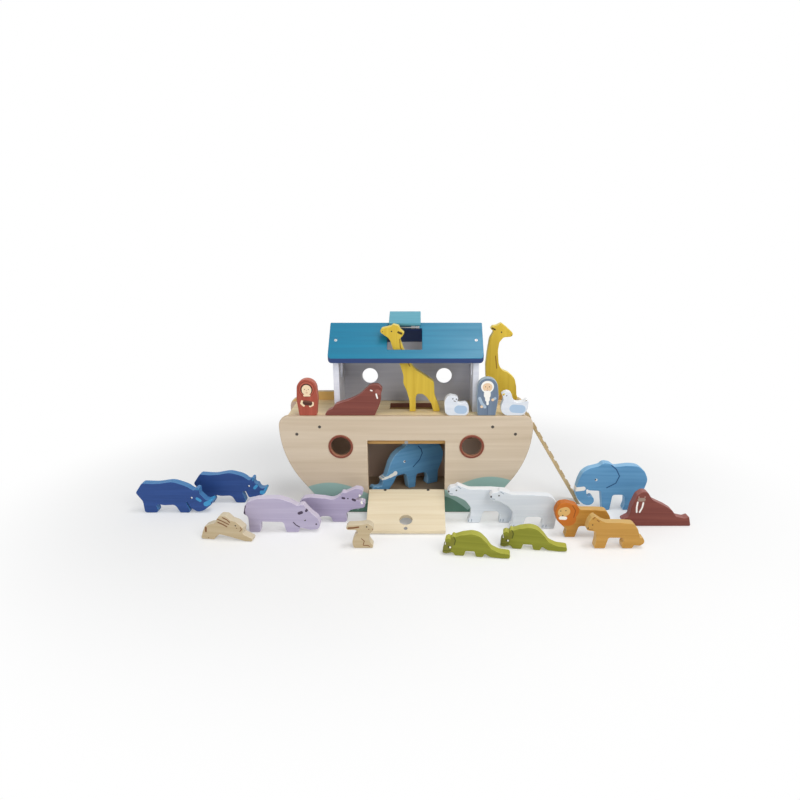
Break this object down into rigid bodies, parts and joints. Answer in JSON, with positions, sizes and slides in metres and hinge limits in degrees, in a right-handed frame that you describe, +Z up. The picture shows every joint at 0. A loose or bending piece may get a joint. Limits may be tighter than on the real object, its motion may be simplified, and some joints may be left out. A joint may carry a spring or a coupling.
{
  "type": "toy_ark_playset",
  "caption": "Wooden toy ark with a drop-down door, portholes, a blue-roofed house with a hinged hatch, a leaning boarding plank, and painted wooden people and animals around it",
  "frame": {"origin": "on the ground under the middle of the hull, on the underside of the base board", "axes": "+X along the hull to the boarding plank's end, -Y the door side, +Z up"},
  "size_m": [0.8845, 0.2643, 0.3164],
  "materials": {
    "birch_ply": "clear lacquered birch plywood",
    "ochre_wood": "ochre stained wood",
    "pale_maple": "clear lacquered maple",
    "ring_brown": "red-brown paint on turned wood",
    "steel": "zinc plated",
    "house_white": "white satin paint",
    "roof_blue": "blue stained wood, brushed by hand",
    "giraffe_yellow": "yellow stained wood",
    "walrus_brown": "brown stained wood",
    "robe_red": "red stained wood",
    "robe_blue": "grey-blue stained wood",
    "elephant_blue": "light blue stained wood",
    "rhino_blue": "dark blue stained wood",
    "hippo_lilac": "lilac grey stained wood",
    "bear_white": "white stained wood",
    "lizard_olive": "olive stained wood",
    "lion_tan": "tan stained wood",
    "rabbit_tan": "pale tan stained wood",
    "dove_white": "white paint"
  },
  "bodies": {
    "hull": {"front_side_panel": "birch_ply", "back_side_panel": "birch_ply", "left_end_board": "birch_ply", "right_end_board": "birch_ply", "base_board": "birch_ply", "hold_floor": "birch_ply", "deck": "birch_ply", "deck_rails": "ochre_wood", "door_stop_batten": "ochre_wood", "stop_magnet": "steel", "porthole_rings": "ring_brown", "hull_screws": "steel", "house_left_wall": "house_white", "house_right_wall": "house_white", "house_back_wall": "house_white", "house_dowels": "ochre_wood", "roof_front_panel": "roof_blue", "roof_back_panel": "roof_blue", "roof_screws": "steel", "roof_hinge_eyes": "steel", "lid_hinge_pin": "steel"},
    "ramp_door": {"door": "pale_maple", "door_rod": "steel", "door_screws": "steel", "door_magnet": "steel"},
    "roof_lid": {"hatch_lid": "roof_blue", "lid_hinge_eyes": "steel"},
    "gangplank": {"boarding_plank": "ochre_wood", "plank_treads": "ochre_wood", "plank_cleat": "ochre_wood"},
    "bearded_man_figure": {"bearded_man": "robe_blue"},
    "woman_with_bowl_figure": {"woman_with_bowl": "robe_red"},
    "giraffe_in_house_figure": {"giraffe_in_house": "giraffe_yellow"},
    "giraffe_on_deck_figure": {"giraffe_on_deck": "giraffe_yellow"},
    "dove_by_house_figure": {"dove_by_house": "dove_white"},
    "dove_on_deck_figure": {"dove_on_deck": "dove_white"},
    "walrus_on_deck_figure": {"walrus_on_deck": "walrus_brown"},
    "walrus_on_ground_figure": {"walrus_on_ground": "walrus_brown"},
    "elephant_in_hold_figure": {"elephant_in_hold": "elephant_blue"},
    "elephant_on_ground_figure": {"elephant_on_ground": "elephant_blue"},
    "rhino_head_up_figure": {"rhino_head_up": "rhino_blue"},
    "rhino_head_down_figure": {"rhino_head_down": "rhino_blue"},
    "hippo_mouth_closed_figure": {"hippo_mouth_closed": "hippo_lilac"},
    "hippo_mouth_open_figure": {"hippo_mouth_open": "hippo_lilac"},
    "rabbit_leaping_figure": {"rabbit_leaping": "rabbit_tan"},
    "rabbit_sitting_figure": {"rabbit_sitting": "rabbit_tan"},
    "polar_bear_rear_figure": {"polar_bear_rear": "bear_white"},
    "polar_bear_front_figure": {"polar_bear_front": "bear_white"},
    "lizard_front_figure": {"lizard_front": "lizard_olive"},
    "lizard_rear_figure": {"lizard_rear": "lizard_olive"},
    "lion_figure": {"lion": "lion_tan"},
    "lioness_figure": {"lioness": "lion_tan"}
  },
  "joints": [
    {"name": "door_hinge", "type": "hinge", "parent": "hull", "child": "ramp_door", "pos_m": [0, -0.0485, 0.0356], "axis": [-1, 0, 0], "range_deg": [0, 111.3]},
    {"name": "lid_hinge", "type": "hinge", "parent": "hull", "child": "roof_lid", "pos_m": [-0.002, -0.00359, 0.29565], "axis": [1, 0, 0], "range_deg": [0, 60]},
    {"name": "gangplank_lift", "type": "slide", "parent": "hull", "child": "gangplank", "axis": [0, 0, 1], "range_m": [0, 0.06]},
    {"name": "bearded_man_lift", "type": "slide", "parent": "hull", "child": "bearded_man_figure", "axis": [0, 0, 1], "range_m": [0, 0.02]},
    {"name": "woman_with_bowl_lift", "type": "slide", "parent": "hull", "child": "woman_with_bowl_figure", "axis": [0, 0, 1], "range_m": [0, 0.06]},
    {"name": "giraffe_in_house_lift", "type": "slide", "parent": "hull", "child": "giraffe_in_house_figure", "axis": [0, 0, 1], "range_m": [0, 0.02]},
    {"name": "giraffe_on_deck_lift", "type": "slide", "parent": "hull", "child": "giraffe_on_deck_figure", "axis": [0, 0, 1], "range_m": [0, 0.06]},
    {"name": "dove_by_house_lift", "type": "slide", "parent": "hull", "child": "dove_by_house_figure", "axis": [0, 0, 1], "range_m": [0, 0.04]},
    {"name": "dove_on_deck_lift", "type": "slide", "parent": "hull", "child": "dove_on_deck_figure", "axis": [0, 0, 1], "range_m": [0, 0.06]},
    {"name": "walrus_on_deck_lift", "type": "slide", "parent": "hull", "child": "walrus_on_deck_figure", "axis": [0, 0, 1], "range_m": [0, 0.03]},
    {"name": "walrus_on_ground_lift", "type": "slide", "parent": "hull", "child": "walrus_on_ground_figure", "axis": [0, 0, 1], "range_m": [0, 0.08]},
    {"name": "elephant_in_hold_push", "type": "slide", "parent": "hull", "child": "elephant_in_hold_figure", "axis": [1, 0, 0], "range_m": [0, 0.05]},
    {"name": "elephant_on_ground_lift", "type": "slide", "parent": "hull", "child": "elephant_on_ground_figure", "axis": [0, 0, 1], "range_m": [0, 0.08]},
    {"name": "rhino_head_up_lift", "type": "slide", "parent": "hull", "child": "rhino_head_up_figure", "axis": [0, 0, 1], "range_m": [0, 0.08]},
    {"name": "rhino_head_down_lift", "type": "slide", "parent": "hull", "child": "rhino_head_down_figure", "axis": [0, 0, 1], "range_m": [0, 0.08]},
    {"name": "hippo_mouth_closed_lift", "type": "slide", "parent": "hull", "child": "hippo_mouth_closed_figure", "axis": [0, 0, 1], "range_m": [0, 0.08]},
    {"name": "hippo_mouth_open_lift", "type": "slide", "parent": "hull", "child": "hippo_mouth_open_figure", "axis": [0, 0, 1], "range_m": [0, 0.08]},
    {"name": "rabbit_leaping_lift", "type": "slide", "parent": "hull", "child": "rabbit_leaping_figure", "axis": [0, 0, 1], "range_m": [0, 0.08]},
    {"name": "rabbit_sitting_lift", "type": "slide", "parent": "hull", "child": "rabbit_sitting_figure", "axis": [0, 0, 1], "range_m": [0, 0.08]},
    {"name": "polar_bear_rear_lift", "type": "slide", "parent": "hull", "child": "polar_bear_rear_figure", "axis": [0, 0, 1], "range_m": [0, 0.08]},
    {"name": "polar_bear_front_lift", "type": "slide", "parent": "hull", "child": "polar_bear_front_figure", "axis": [0, 0, 1], "range_m": [0, 0.08]},
    {"name": "lizard_front_lift", "type": "slide", "parent": "hull", "child": "lizard_front_figure", "axis": [0, 0, 1], "range_m": [0, 0.08]},
    {"name": "lizard_rear_lift", "type": "slide", "parent": "hull", "child": "lizard_rear_figure", "axis": [0, 0, 1], "range_m": [0, 0.08]},
    {"name": "lion_lift", "type": "slide", "parent": "hull", "child": "lion_figure", "axis": [0, 0, 1], "range_m": [0, 0.08]},
    {"name": "lioness_lift", "type": "slide", "parent": "hull", "child": "lioness_figure", "axis": [0, 0, 1], "range_m": [0, 0.08]}
  ]
}
